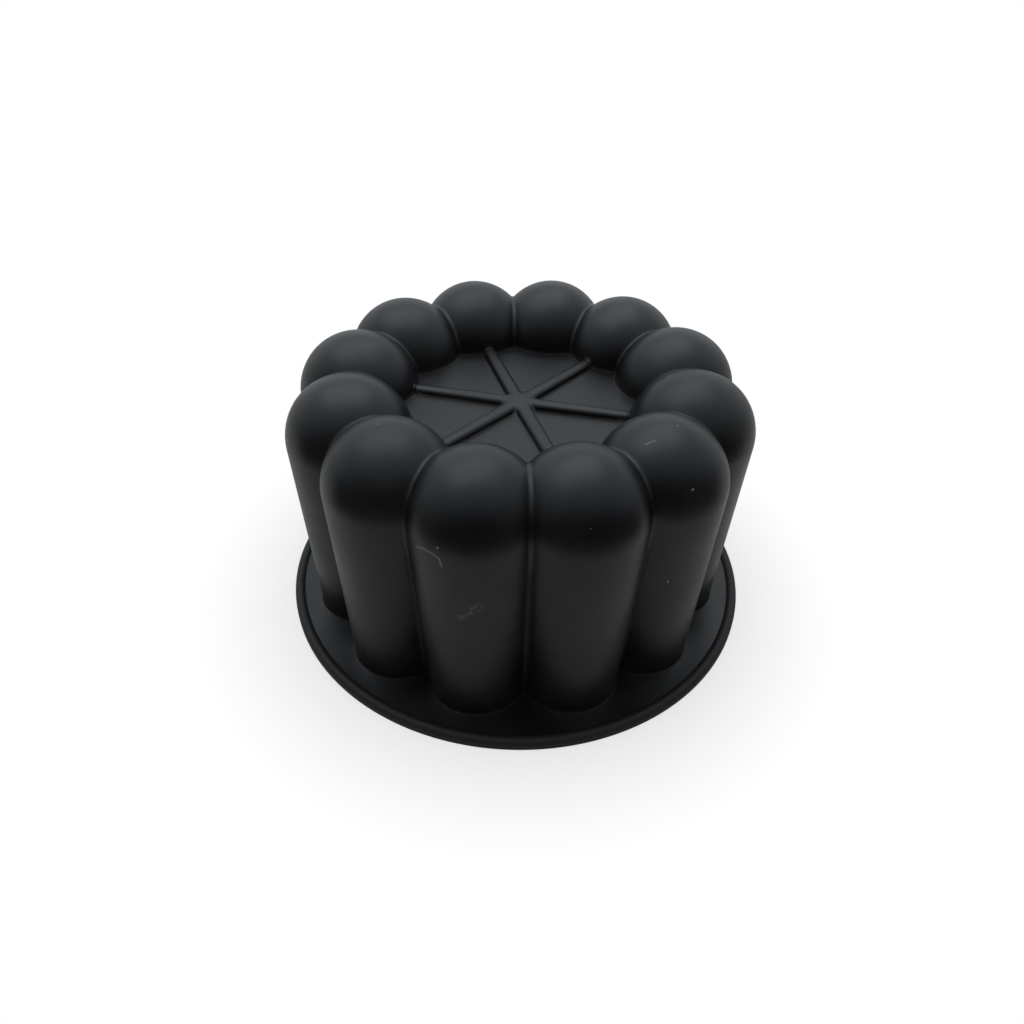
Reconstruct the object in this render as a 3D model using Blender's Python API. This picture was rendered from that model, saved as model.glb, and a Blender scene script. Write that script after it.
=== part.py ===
"""Charlotte mould in dark moulded silicone, standing mouth down on its rim.

A ring of lobes makes the wall: each one is a column that ends in a half-ball
crown, and narrow webs fill the valleys between them. The crowns stand round a
sunken plate with half-round stiffening ribs. At the mouth the wall turns out
into a flat flange, whose thick round bead is moulded over a steel hoop.

Origin on the axis at the height of the rim's seat, +Z up, metres.
"""

import math

import bmesh
import bpy
from mathutils import Matrix, Vector

# Wall of lobes
LOBES = 12
CROWN_CIRCLE_RADIUS = 0.0631  # axis to the centre of each half-ball
CROWN_CENTRE_HEIGHT = 0.0794  # seat of the rim to the centres of the half-balls
CROWN_OVERLAP = 0.0065  # how far a half-ball reaches past the middle of its valley
FOOT_SPREAD = 0.0023  # how much further out the columns stand at the mouth
FOOT_OVERLAP = 0.0016  # the same reach of a column at the mouth
VALLEY_FILLET = 0.0014  # hollow radius of the web in each valley
WALL = 0.0020

# Sunken plate and its ribs
PLATE_RISE = 0.0030  # plate over the centres of the half-balls
PLATE_FILLET = 0.0008
RIB_PAIRS = 3  # each pair runs right across the hub
RIB_ROOT_WIDTH = 0.0060
RIB_TIP_WIDTH = 0.0052
RIB_HEIGHT = 0.0024
RIB_OVERRUN = 0.0020  # how far a rib runs on into the foot of its crown
HUB_RADIUS = 0.0072
HUB_HEIGHT = 0.0027

# Flange, bead and hoop
FLANGE_THICKNESS = 0.0030
FLANGE_WIDTH = 0.0062  # flat part, outside the foot of a column
FOOT_FILLET = 0.0006
MOUTH_RADIUS = 0.0020
HOOP_WIRE_RADIUS = 0.0010
HOOP_CLEARANCE = 0.0003
HOOP_COVER = 0.0008  # silicone all round the hoop's channel
BEAD_FILLET = 0.0008
SEAT_EDGE_RADIUS = 0.0005
PIN_HOLES = 6  # where the tool's pins held the hoop
PIN_HOLE_MARGIN = 0.0002  # how much narrower than the wire a hole is, at the radius

# Facets
LOBE_STEPS = 8
CROWN_STEPS = 4  # on each side of a crown's top
FILLET_STEPS = 2
BEAD_STEPS = 6
SMALL_ARC_STEPS = 2
HOOP_STEPS = 72
WIRE_STEPS = 8
HOLE_SIDES = 12
RIB_SIDES = 16
RIB_RINGS = 8  # even, so that one ring lies in the middle of the pair
HUB_SIDES = 24
HUB_RINGS = 11  # odd, so that no ring lies in the plate's face

# Finishes
SILICONE_COLOUR = (0.022, 0.022, 0.025)
SILICONE_ROUGHNESS = 0.42
STEEL_COLOUR = (0.62, 0.62, 0.60)
STEEL_ROUGHNESS = 0.35

# Sizes that follow from the ones above
HALF_PITCH = math.pi / LOBES
CROWN_RADIUS = CROWN_CIRCLE_RADIUS * math.sin(HALF_PITCH) + CROWN_OVERLAP
FOOT_CIRCLE_RADIUS = CROWN_CIRCLE_RADIUS + FOOT_SPREAD
FOOT_RADIUS = FOOT_CIRCLE_RADIUS * math.sin(HALF_PITCH) + FOOT_OVERLAP
PLATE_HEIGHT = CROWN_CENTRE_HEIGHT + PLATE_RISE
CHANNEL_RADIUS = HOOP_WIRE_RADIUS + HOOP_CLEARANCE
BEAD_RADIUS = CHANNEL_RADIUS + HOOP_COVER
PIN_HOLE_RADIUS = HOOP_WIRE_RADIUS - PIN_HOLE_MARGIN
PLATE_EDGE_RISE = PLATE_RISE + PLATE_FILLET
PLATE_EDGE_REACH = math.sqrt((CROWN_RADIUS + PLATE_FILLET) ** 2 - PLATE_EDGE_RISE ** 2)
PLATE_EDGE_RADIUS = CROWN_CIRCLE_RADIUS - PLATE_EDGE_REACH
BEAD_EDGE_RISE = FLANGE_THICKNESS + BEAD_FILLET - BEAD_RADIUS
BEAD_EDGE_REACH = math.sqrt((BEAD_RADIUS + BEAD_FILLET) ** 2 - BEAD_EDGE_RISE ** 2)
FLANGE_EDGE_RADIUS = FOOT_CIRCLE_RADIUS + FOOT_RADIUS + FOOT_FILLET + FLANGE_WIDTH
HOOP_RADIUS = FLANGE_EDGE_RADIUS + BEAD_EDGE_REACH
RIM_RADIUS = HOOP_RADIUS + BEAD_RADIUS


def clear_scene():
    for item in list(bpy.data.objects):
        bpy.data.objects.remove(item, do_unlink=True)


def new_collection(name):
    collection = bpy.data.collections.new(name)
    bpy.context.scene.collection.children.link(collection)
    return collection


def make_material(name, colour, roughness, metallic):
    material = bpy.data.materials.new(name)
    material.use_nodes = True
    shader = material.node_tree.nodes["Principled BSDF"]
    shader.inputs["Base Color"].default_value = (*colour, 1.0)
    shader.inputs["Roughness"].default_value = roughness
    shader.inputs["Metallic"].default_value = metallic
    return material


def object_from(bm, name, collection):
    mesh = bpy.data.meshes.new(name)
    bm.to_mesh(mesh)
    bm.free()
    item = bpy.data.objects.new(name, mesh)
    collection.objects.link(item)
    return item


def smooth(item, angle):
    item.data.shade_smooth()
    item.data.set_sharp_from_angle(angle=angle)


def arc(centre, radius, start, end, steps):
    """Points (across, height) on an arc, both ends included."""
    points = []
    for step in range(steps + 1):
        angle = start + (end - start) * step / steps
        across = centre[0] + radius * math.cos(angle)
        points.append((across, centre[1] + radius * math.sin(angle)))
    return points


def lobe_stations(circle_radius, lobe_radius, valley_fillet):
    """Upright cuts through one lobe, from the valley before it to its last tangent.

    Each is (direction, offset, radius): the cut looks outward along the
    direction, passes the lobe's centre at the offset and meets the surface in
    a circle of the radius. The first lies in the middle of the valley, where
    the web's hollow touches both neighbours.
    """
    reach = circle_radius * math.sin(HALF_PITCH)
    swing = math.asin(reach / (lobe_radius + valley_fillet))
    web = (lobe_radius + valley_fillet) * math.cos(swing)
    stations = [(-HALF_PITCH, -reach, web - valley_fillet)]
    for step in range(LOBE_STEPS + 1):
        share = 2.0 * step / LOBE_STEPS - 1.0
        turn = share * swing
        stations.append((share * HALF_PITCH, lobe_radius * math.sin(turn), lobe_radius * math.cos(turn)))
    return stations


def cut_origin(circle_radius, station):
    direction, offset, _ = station
    return Vector((circle_radius - offset * math.sin(direction), offset * math.cos(direction), 0.0))


def crown_section(station, plate_rise):
    """Plate edge, hollow fillet and half-ball of one cut, from the plate outward."""
    _, offset, radius = station
    reach = math.sqrt(PLATE_EDGE_REACH ** 2 - offset ** 2)
    fillet = (reach ** 2 - radius ** 2 + plate_rise ** 2) / (2.0 * (radius - plate_rise))
    lift = plate_rise + fillet
    hollow = arc((-reach, lift), fillet, -math.pi / 2.0, -math.atan2(lift, reach), FILLET_STEPS)
    near_side = arc((0.0, 0.0), radius, math.pi - math.atan2(lift, reach), math.pi / 2.0, CROWN_STEPS)
    far_side = arc((0.0, 0.0), radius, math.pi / 2.0, 0.0, CROWN_STEPS)
    return hollow + near_side[1:] + far_side[1:]


def skin(depth):
    """The two outlines of one cut that the outer and the inner skin share.

    Returns a list of (crown points, foot point, outward direction) in the
    frame of the lobe at angle 0. The depth is measured into the wall.
    """
    crown = lobe_stations(CROWN_CIRCLE_RADIUS, CROWN_RADIUS - depth, VALLEY_FILLET + depth)
    foot = lobe_stations(FOOT_CIRCLE_RADIUS, FOOT_RADIUS - depth, VALLEY_FILLET + depth)
    cuts = []
    for top, bottom in zip(crown, foot):
        outward = Vector((math.cos(top[0]), math.sin(top[0]), 0.0))
        centre = cut_origin(CROWN_CIRCLE_RADIUS, top)
        centre.z = CROWN_CENTRE_HEIGHT
        points = []
        for across, height in crown_section(top, PLATE_RISE - depth):
            points.append(centre + outward * across + Vector((0.0, 0.0, height)))
        foot_point = cut_origin(FOOT_CIRCLE_RADIUS, bottom) + outward * bottom[2]
        cuts.append((points, foot_point, outward))
    return cuts


def wall_point(cut, height):
    """Point of the straight column wall, between the crown's rim and the mouth."""
    points, foot_point, outward = cut
    return foot_point.lerp(points[-1], height / CROWN_CENTRE_HEIGHT)


def bead_section():
    """Round bead from the flange's face over its crest and down to the seat."""
    centre = (HOOP_RADIUS, BEAD_RADIUS)
    angle = math.atan2(BEAD_EDGE_RISE, BEAD_EDGE_REACH)
    hollow_centre = (FLANGE_EDGE_RADIUS, FLANGE_THICKNESS + BEAD_FILLET)
    hollow = arc(hollow_centre, BEAD_FILLET, -math.pi / 2.0, -angle, SMALL_ARC_STEPS)
    crest = arc(centre, BEAD_RADIUS, math.pi - angle, 0.0, BEAD_STEPS)
    edge_centre = (RIM_RADIUS - SEAT_EDGE_RADIUS, SEAT_EDGE_RADIUS)
    edge = arc(edge_centre, SEAT_EDGE_RADIUS, 0.0, -math.pi / 2.0, SMALL_ARC_STEPS)
    return hollow + crest[1:] + edge


def shell_section(outer, inner):
    """Closed path of one cut: out over the outer skin, back over the inner one."""
    path = list(outer[0])
    top = FLANGE_THICKNESS + FOOT_FILLET
    heel = wall_point(outer, top)
    for across, height in arc((FOOT_FILLET, top), FOOT_FILLET, math.pi, 1.5 * math.pi, SMALL_ARC_STEPS):
        path.append(Vector((heel.x, heel.y, height)) + outer[2] * across)
    bearing = math.atan2(path[-1].y, path[-1].x)
    for radius, height in bead_section():
        path.append(Vector((radius * math.cos(bearing), radius * math.sin(bearing), height)))
    lip = wall_point(inner, MOUTH_RADIUS)
    lip_centre = (MOUTH_RADIUS, MOUTH_RADIUS)
    for across, height in arc(lip_centre, MOUTH_RADIUS, -math.pi / 2.0, -math.pi, SMALL_ARC_STEPS):
        path.append(Vector((lip.x, lip.y, height)) + inner[2] * across)
    path.extend(reversed(inner[0]))
    return path


def close_plate(bm, edge, height):
    """Flat face of the plate, as a fan from the axis to its scalloped edge."""
    middle = bm.verts.new((0.0, 0.0, height))
    for index, vert in enumerate(edge):
        bm.faces.new((middle, vert, edge[(index + 1) % len(edge)]))


def make_lofted_shell(name, collection):
    """Loft of the cuts round the axis, closed by the plate's two faces."""
    bm = bmesh.new()
    columns = []
    cuts = list(zip(skin(0.0), skin(WALL)))
    for lobe in range(LOBES):
        turn = Matrix.Rotation((2 * lobe + 1) * HALF_PITCH, 3, "Z")
        for outer, inner in cuts:
            columns.append([bm.verts.new(turn @ point) for point in shell_section(outer, inner)])
    for index, column in enumerate(columns):
        beside = columns[(index + 1) % len(columns)]
        for row in range(len(column) - 1):
            bm.faces.new((column[row], column[row + 1], beside[row + 1], beside[row]))
    close_plate(bm, [column[0] for column in columns], PLATE_HEIGHT)
    close_plate(bm, [column[-1] for column in columns], PLATE_HEIGHT - WALL)
    bmesh.ops.recalc_face_normals(bm, faces=bm.faces[:])
    return object_from(bm, name, collection)


def make_cutter(bm, name, collection):
    item = object_from(bm, name, collection)
    item.hide_render = True
    item.display_type = "WIRE"
    return item


def flatten_foot(bm, ridge_height):
    """Cut a ridge off inside the plate's thickness and close the cut."""
    plane = Vector((0.0, 0.0, PLATE_HEIGHT - min(WALL, ridge_height) / 2.0))
    geometry = bm.verts[:] + bm.edges[:] + bm.faces[:]
    cut = bmesh.ops.bisect_plane(bm, geom=geometry, plane_co=plane, plane_no=(0, 0, 1), clear_inner=True)
    rim = [item for item in cut["geom_cut"] if isinstance(item, bmesh.types.BMEdge)]
    bmesh.ops.holes_fill(bm, edges=rim, sides=0)


def make_rib_pair(angle, name, collection):
    """Two ribs in line: a ball pulled out both ways along its own axis.

    The ball's middle ring stays under the hub at the ribs' root width, and the
    rest moves out to the two round tips.
    """
    bm = bmesh.new()
    bmesh.ops.create_uvsphere(bm, u_segments=RIB_SIDES, v_segments=RIB_RINGS, radius=1.0)
    lay_down = Matrix.Rotation(math.pi / RIB_SIDES, 3, "X") @ Matrix.Rotation(math.pi / 2.0, 3, "Y")
    bmesh.ops.rotate(bm, verts=bm.verts[:], matrix=lay_down)
    root = RIB_ROOT_WIDTH / 2.0
    tip = RIB_TIP_WIDTH / 2.0
    straight = PLATE_EDGE_RADIUS + RIB_OVERRUN - tip
    ring_beside_middle = math.sin(math.pi / RIB_RINGS)
    for vert in bm.verts:
        share = min(1.0, abs(vert.co.x) / ring_beside_middle)
        along = vert.co.x * tip + math.copysign(share * straight, vert.co.x)
        across = vert.co.y * (root + share * (tip - root))
        vert.co = Vector((along, across, vert.co.z * RIB_HEIGHT))
    place = Matrix.Translation((0.0, 0.0, PLATE_HEIGHT)) @ Matrix.Rotation(angle, 4, "Z")
    bmesh.ops.transform(bm, matrix=place, verts=bm.verts[:])
    flatten_foot(bm, RIB_HEIGHT)
    return make_cutter(bm, name, collection)


def make_hub(name, collection):
    """Low round boss where the ribs meet."""
    bm = bmesh.new()
    bmesh.ops.create_uvsphere(bm, u_segments=HUB_SIDES, v_segments=HUB_RINGS, radius=1.0)
    bmesh.ops.rotate(bm, verts=bm.verts[:], matrix=Matrix.Rotation(math.pi / HUB_SIDES, 3, "Z"))
    bmesh.ops.scale(bm, vec=(HUB_RADIUS, HUB_RADIUS, HUB_HEIGHT), verts=bm.verts[:])
    bmesh.ops.translate(bm, vec=(0.0, 0.0, PLATE_HEIGHT), verts=bm.verts[:])
    flatten_foot(bm, HUB_HEIGHT)
    return make_cutter(bm, name, collection)


def make_hoop_body(wire_radius, name, collection):
    """Round wire bent into a closed hoop at the bead's centre line."""
    bpy.ops.mesh.primitive_torus_add(
        major_radius=HOOP_RADIUS,
        minor_radius=wire_radius,
        major_segments=HOOP_STEPS,
        minor_segments=WIRE_STEPS,
        location=(0.0, 0.0, BEAD_RADIUS),
    )
    item = bpy.context.active_object
    item.name = name
    for owner in list(item.users_collection):
        owner.objects.unlink(item)
    collection.objects.link(item)
    return item


def make_pin_holes(name, collection):
    """Short bores from the seat into the hoop's channel."""
    bm = bmesh.new()
    depth = 2.0 * BEAD_RADIUS  # centred on the seat, so each hole ends at the wire's middle
    for hole in range(PIN_HOLES):
        angle = 2.0 * math.pi * hole / PIN_HOLES
        place = Matrix.Rotation(angle, 4, "Z") @ Matrix.Translation((HOOP_RADIUS, 0.0, 0.0))
        bmesh.ops.create_cone(
            bm,
            cap_ends=True,
            segments=HOLE_SIDES,
            radius1=PIN_HOLE_RADIUS,
            radius2=PIN_HOLE_RADIUS,
            depth=depth,
            matrix=place,
        )
    return make_cutter(bm, name, collection)


def add_boolean(item, operation, other):
    modifier = item.modifiers.new(other.name, "BOOLEAN")
    modifier.operation = operation
    modifier.solver = "EXACT"
    modifier.object = other


def make_shell(parts, cutters, material):
    shell = make_lofted_shell("mould_shell", parts)
    add_boolean(shell, "UNION", make_hub("hub_boss", cutters))
    for pair in range(RIB_PAIRS):
        angle = -HALF_PITCH + math.pi * pair / RIB_PAIRS
        add_boolean(shell, "UNION", make_rib_pair(angle, f"rib_pair_{pair + 1}", cutters))
    channel = make_hoop_body(CHANNEL_RADIUS, "hoop_channel", cutters)
    channel.hide_render = True
    channel.display_type = "WIRE"
    add_boolean(shell, "DIFFERENCE", channel)
    add_boolean(shell, "DIFFERENCE", make_pin_holes("pin_holes", cutters))
    shell.data.materials.append(material)
    smooth(shell, math.radians(40.0))
    return shell


def make_hoop(parts, material):
    hoop = make_hoop_body(HOOP_WIRE_RADIUS, "rim_hoop", parts)
    hoop.data.materials.append(material)
    smooth(hoop, math.radians(60.0))
    return hoop


def main():
    clear_scene()
    parts = new_collection("charlotte_mould")
    cutters = new_collection("cutters")
    silicone = make_material("charcoal_silicone", SILICONE_COLOUR, SILICONE_ROUGHNESS, 0.0)
    steel = make_material("stainless_wire", STEEL_COLOUR, STEEL_ROUGHNESS, 1.0)
    make_shell(parts, cutters, silicone)
    make_hoop(parts, steel)
    print("rim diameter mm", round(2000.0 * RIM_RADIUS, 2))
    print("height mm", round(1000.0 * (CROWN_CENTRE_HEIGHT + CROWN_RADIUS), 2))


main()
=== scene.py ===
# %% [markdown]
# # A charlotte mould in black silicone
# The mould stands mouth down on a pale table, the way it lies in a cupboard. Twelve
# round columns with half-ball tops make its wall, and a flat flange with a thick
# bead runs round the mouth. This lesson builds the two things it is made of, the
# silicone shell and the steel hoop inside the bead, and gives them their finish.
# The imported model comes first: it fixes the place and the size of everything.

# %% Load the frame
import math

import bmesh
import bpy
from mathutils import Matrix, Vector


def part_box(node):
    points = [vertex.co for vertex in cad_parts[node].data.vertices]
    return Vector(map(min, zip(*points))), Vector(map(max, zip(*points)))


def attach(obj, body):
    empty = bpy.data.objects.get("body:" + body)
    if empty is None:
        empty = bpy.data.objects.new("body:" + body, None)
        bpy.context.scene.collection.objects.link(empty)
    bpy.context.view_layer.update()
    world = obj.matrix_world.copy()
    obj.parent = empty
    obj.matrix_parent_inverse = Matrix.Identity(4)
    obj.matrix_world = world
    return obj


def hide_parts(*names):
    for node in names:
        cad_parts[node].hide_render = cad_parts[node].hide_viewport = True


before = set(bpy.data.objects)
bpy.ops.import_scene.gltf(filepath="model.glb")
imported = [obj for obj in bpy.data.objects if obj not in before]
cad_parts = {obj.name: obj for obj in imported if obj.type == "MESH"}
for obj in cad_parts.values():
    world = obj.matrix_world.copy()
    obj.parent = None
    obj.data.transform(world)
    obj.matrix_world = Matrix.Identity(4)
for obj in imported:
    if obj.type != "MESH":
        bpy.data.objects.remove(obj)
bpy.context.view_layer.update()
print("frame nodes:", sorted(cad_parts))

# %% [markdown]
# ## The sizes that drive the shape
# A pattern maker would draw one upright cut through a column and turn it round the
# ring. The same few sizes do that here. They are in metres, as Blender's units are,
# and the first check is that they give the rim and the height of the frame.

# %% Sizes of the wall
LOBES = 12
CROWN_CIRCLE_RADIUS = 0.0631  # axis to the centre of each half-ball
CROWN_CENTRE_HEIGHT = 0.0794
CROWN_OVERLAP = 0.0065  # how far a half-ball reaches past the middle of its valley
FOOT_SPREAD = 0.0023
FOOT_OVERLAP = 0.0016
VALLEY_FILLET = 0.0014
WALL = 0.0020

HALF_PITCH = math.pi / LOBES
CROWN_RADIUS = CROWN_CIRCLE_RADIUS * math.sin(HALF_PITCH) + CROWN_OVERLAP
FOOT_CIRCLE_RADIUS = CROWN_CIRCLE_RADIUS + FOOT_SPREAD
FOOT_RADIUS = FOOT_CIRCLE_RADIUS * math.sin(HALF_PITCH) + FOOT_OVERLAP
print("crown radius mm:", round(1000 * CROWN_RADIUS, 2))

# %% Sizes of the plate, its ribs and the hub
PLATE_RISE = 0.0030  # plate over the centres of the half-balls
PLATE_FILLET = 0.0008
RIB_PAIRS = 3
RIB_ROOT_WIDTH = 0.0060
RIB_TIP_WIDTH = 0.0052
RIB_HEIGHT = 0.0024
RIB_OVERRUN = 0.0020
HUB_RADIUS = 0.0072
HUB_HEIGHT = 0.0027

PLATE_HEIGHT = CROWN_CENTRE_HEIGHT + PLATE_RISE
PLATE_EDGE_RISE = PLATE_RISE + PLATE_FILLET
PLATE_EDGE_REACH = math.sqrt((CROWN_RADIUS + PLATE_FILLET) ** 2 - PLATE_EDGE_RISE ** 2)
PLATE_EDGE_RADIUS = CROWN_CIRCLE_RADIUS - PLATE_EDGE_REACH
RIB_STRAIGHT = PLATE_EDGE_RADIUS + RIB_OVERRUN - RIB_TIP_WIDTH / 2.0
RIB_ANGLES = [-HALF_PITCH + math.pi * pair / RIB_PAIRS for pair in range(RIB_PAIRS)]
print("plate's edge radius mm:", round(1000 * PLATE_EDGE_RADIUS, 2))

# %% Sizes of the flange, the bead and the hoop
FLANGE_THICKNESS = 0.0030
FLANGE_WIDTH = 0.0062
FOOT_FILLET = 0.0006
MOUTH_RADIUS = 0.0020
HOOP_WIRE_RADIUS = 0.0010
HOOP_CLEARANCE = 0.0003
HOOP_COVER = 0.0008
BEAD_FILLET = 0.0008
SEAT_EDGE_RADIUS = 0.0005

CHANNEL_RADIUS = HOOP_WIRE_RADIUS + HOOP_CLEARANCE
BEAD_RADIUS = CHANNEL_RADIUS + HOOP_COVER
BEAD_EDGE_RISE = FLANGE_THICKNESS + BEAD_FILLET - BEAD_RADIUS
BEAD_EDGE_REACH = math.sqrt((BEAD_RADIUS + BEAD_FILLET) ** 2 - BEAD_EDGE_RISE ** 2)
FLANGE_EDGE_RADIUS = FOOT_CIRCLE_RADIUS + FOOT_RADIUS + FOOT_FILLET + FLANGE_WIDTH
HOOP_RADIUS = FLANGE_EDGE_RADIUS + BEAD_EDGE_REACH
RIM_RADIUS = HOOP_RADIUS + BEAD_RADIUS
_, shell_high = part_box("mould_shell")
print("rim radius mm:", round(1000 * RIM_RADIUS, 3), "in the frame:", round(1000 * shell_high.x, 3))
print("height mm:", round(1000 * (CROWN_CENTRE_HEIGHT + CROWN_RADIUS), 3), round(1000 * shell_high.z, 3))

# %% [markdown]
# ## One upright cut
# Every cut of a column is a set of arcs: a hollow where the plate meets the crown,
# the crown itself, and small fillets at the flange, the bead and the mouth. An arc
# is its own short function, because all of them are made the same way.

# %% Arcs
def arc(centre, radius, start, end, steps):
    """Points (across, height) on an arc, both ends included."""
    points = []
    for step in range(steps + 1):
        angle = start + (end - start) * step / steps
        points.append((centre[0] + radius * math.cos(angle), centre[1] + radius * math.sin(angle)))
    return points


def on_circle(radius, bearing, height):
    """Point at a distance from the axis, a bearing round it and a height."""
    return Vector((radius * math.cos(bearing), radius * math.sin(bearing), height))


print("middle of a quarter arc:", arc((0.0, 0.0), 1.0, 0.0, math.pi / 2.0, 2)[1])

# %% [markdown]
# The cuts of one lobe run from the middle of a valley to the next one. Each looks
# outward along its own direction, passes the lobe's centre at an offset and meets
# the surface in a circle. In the valley a small ball rolls between the two lobes,
# and the cuts there follow its hollow, so the web is round and not a flat strip.

# %% Cuts through one lobe
LOBE_STEPS = 48
WEB_STEPS = 3  # half of the hollow in a valley
COLUMNS_PER_LOBE = LOBE_STEPS + 2 * WEB_STEPS
COLUMNS = LOBES * COLUMNS_PER_LOBE


def lobe_cuts(circle_radius, lobe_radius, web_radius):
    """(direction, offset, radius) of each cut, from the middle of a valley to the next."""
    reach = circle_radius * math.sin(HALF_PITCH)
    swing = math.asin(reach / (lobe_radius + web_radius))
    web = (lobe_radius + web_radius) * math.cos(swing)
    cuts = []
    for step in range(WEB_STEPS):
        turn = swing * step / WEB_STEPS
        cuts.append((-HALF_PITCH, web_radius * math.sin(turn) - reach, web - web_radius * math.cos(turn)))
    for step in range(LOBE_STEPS + 1):
        share = 2.0 * step / LOBE_STEPS - 1.0
        turn = share * swing
        cuts.append((share * HALF_PITCH, lobe_radius * math.sin(turn), lobe_radius * math.cos(turn)))
    for direction, offset, radius in reversed(cuts[1:WEB_STEPS]):
        cuts.append((-direction, -offset, radius))
    return cuts


print("cuts in a lobe:", len(lobe_cuts(CROWN_CIRCLE_RADIUS, CROWN_RADIUS, VALLEY_FILLET)))
print("columns of the net:", COLUMNS)

# %% The crown of one cut
CROWN_STEPS = 20
HOLLOW_STEPS = 8


def crown_section(cut, plate_rise):
    """Hollow fillet and half-ball of one cut, from the plate outward."""
    _, offset, radius = cut
    reach = math.sqrt(PLATE_EDGE_REACH ** 2 - offset ** 2)
    fillet = (reach ** 2 - radius ** 2 + plate_rise ** 2) / (2.0 * (radius - plate_rise))
    lift = plate_rise + fillet
    tangent = math.atan2(lift, reach)
    hollow = arc((-reach, lift), fillet, -math.pi / 2.0, -tangent, HOLLOW_STEPS)
    near_side = arc((0.0, 0.0), radius, math.pi - tangent, math.pi / 2.0, CROWN_STEPS)
    far_side = arc((0.0, 0.0), radius, math.pi / 2.0, 0.0, CROWN_STEPS)
    return hollow + near_side[1:] + far_side[1:]


print("points of a crown:", len(crown_section((0.0, 0.0, CROWN_RADIUS), PLATE_RISE)))


# %% Cuts from crown to foot
def cut_origin(circle_radius, cut):
    direction, offset, _ = cut
    across = Vector((-math.sin(direction), math.cos(direction), 0.0))
    return Vector((circle_radius, 0.0, 0.0)) + offset * across


def skin(depth):
    """(crown points, foot point, outward direction) of each cut, at a depth in the wall."""
    crown = lobe_cuts(CROWN_CIRCLE_RADIUS, CROWN_RADIUS - depth, VALLEY_FILLET + depth)
    foot = lobe_cuts(FOOT_CIRCLE_RADIUS, FOOT_RADIUS - depth, VALLEY_FILLET + depth)
    lines = []
    for top, bottom in zip(crown, foot):
        outward = Vector((math.cos(top[0]), math.sin(top[0]), 0.0))
        centre = cut_origin(CROWN_CIRCLE_RADIUS, top)
        centre.z = CROWN_CENTRE_HEIGHT
        points = []
        for across, height in crown_section(top, PLATE_RISE - depth):
            points.append(centre + outward * across + Vector((0.0, 0.0, height)))
        foot_point = cut_origin(FOOT_CIRCLE_RADIUS, bottom) + outward * bottom[2]
        lines.append((points, foot_point, outward))
    return lines


def wall_point(line, height):
    """Point on the straight wall of a column."""
    points, foot_point, _ = line
    return foot_point.lerp(points[-1], height / CROWN_CENTRE_HEIGHT)


print("cuts of the outer skin:", len(skin(0.0)))

# %% [markdown]
# ## The bead and the seat
# The bead is a half-round over the flange's edge. Its seat is flat, and six small
# holes in it show where the tool's pins held the hoop while the silicone was shot
# in. The rows of the mesh on the seat are set so that a square patch of six by six
# faces lies round each hole, which is later traded for a round opening.

# %% Bead and seat rows
FILLET_STEPS = 5
BEAD_STEPS = 20
PIN_PATCH = 6  # faces along a side of the patch round a pin hole
PIN_PATCH_HALF_WIDTH = 0.0015


def bead_section():
    """(radius, height) from the flange's face over the bead and down to the seat."""
    centre = (HOOP_RADIUS, BEAD_RADIUS)
    tangent = math.atan2(BEAD_EDGE_RISE, BEAD_EDGE_REACH)
    hollow_centre = (FLANGE_EDGE_RADIUS, FLANGE_THICKNESS + BEAD_FILLET)
    hollow = arc(hollow_centre, BEAD_FILLET, -math.pi / 2.0, -tangent, FILLET_STEPS)
    crest = arc(centre, BEAD_RADIUS, math.pi - tangent, 0.0, BEAD_STEPS)
    edge_centre = (RIM_RADIUS - SEAT_EDGE_RADIUS, SEAT_EDGE_RADIUS)
    edge = arc(edge_centre, SEAT_EDGE_RADIUS, 0.0, -math.pi / 2.0, FILLET_STEPS)
    return hollow + crest[1:] + edge


def seat_section():
    """(radius, 0) of the rows across the pin holes' patches, from the rim inward."""
    shares = [1.0 - 2.0 * step / PIN_PATCH for step in range(PIN_PATCH + 1)]
    return [(HOOP_RADIUS + share * PIN_PATCH_HALF_WIDTH, 0.0) for share in shares]


print("bead rows:", len(bead_section()), "seat rows:", len(seat_section()))

# %% The outer side of one cut
WALL_STEPS = 8


def outside(line):
    """Down the outer skin, over the flange and the bead, and across the pin holes' patches."""
    path = list(line[0])
    top = FLANGE_THICKNESS + FOOT_FILLET
    fall = CROWN_CENTRE_HEIGHT - top
    for step in range(1, WALL_STEPS):
        path.append(wall_point(line, CROWN_CENTRE_HEIGHT - fall * step / WALL_STEPS))
    heel = wall_point(line, top)
    for across, height in arc((FOOT_FILLET, top), FOOT_FILLET, math.pi, 1.5 * math.pi, FILLET_STEPS):
        path.append(Vector((heel.x, heel.y, height)) + line[2] * across)
    bearing = math.atan2(path[-1].y, path[-1].x)
    flange_edge = on_circle(FLANGE_EDGE_RADIUS, bearing, FLANGE_THICKNESS)
    path.append(path[-1].lerp(flange_edge, 0.5))  # halfway over the flange
    for radius, height in bead_section() + seat_section():
        path.append(on_circle(radius, bearing, height))
    return path


# %% The inner side of one cut
SEAT_STEPS = 4


def inside(line, seat_end):
    """From the patches over the seat, round the mouth and up the inner skin."""
    lip = wall_point(line, MOUTH_RADIUS)
    lip_centre = (MOUTH_RADIUS, MOUTH_RADIUS)
    lip_arc = []
    for across, height in arc(lip_centre, MOUTH_RADIUS, -math.pi / 2.0, -math.pi, FILLET_STEPS):
        lip_arc.append(Vector((lip.x, lip.y, height)) + line[2] * across)
    path = [seat_end.lerp(lip_arc[0], step / SEAT_STEPS) for step in range(1, SEAT_STEPS)]
    path += lip_arc
    rise = CROWN_CENTRE_HEIGHT - MOUTH_RADIUS
    for step in range(1, WALL_STEPS):
        path.append(wall_point(line, MOUTH_RADIUS + rise * step / WALL_STEPS))
    return path + line[0][::-1]


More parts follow.
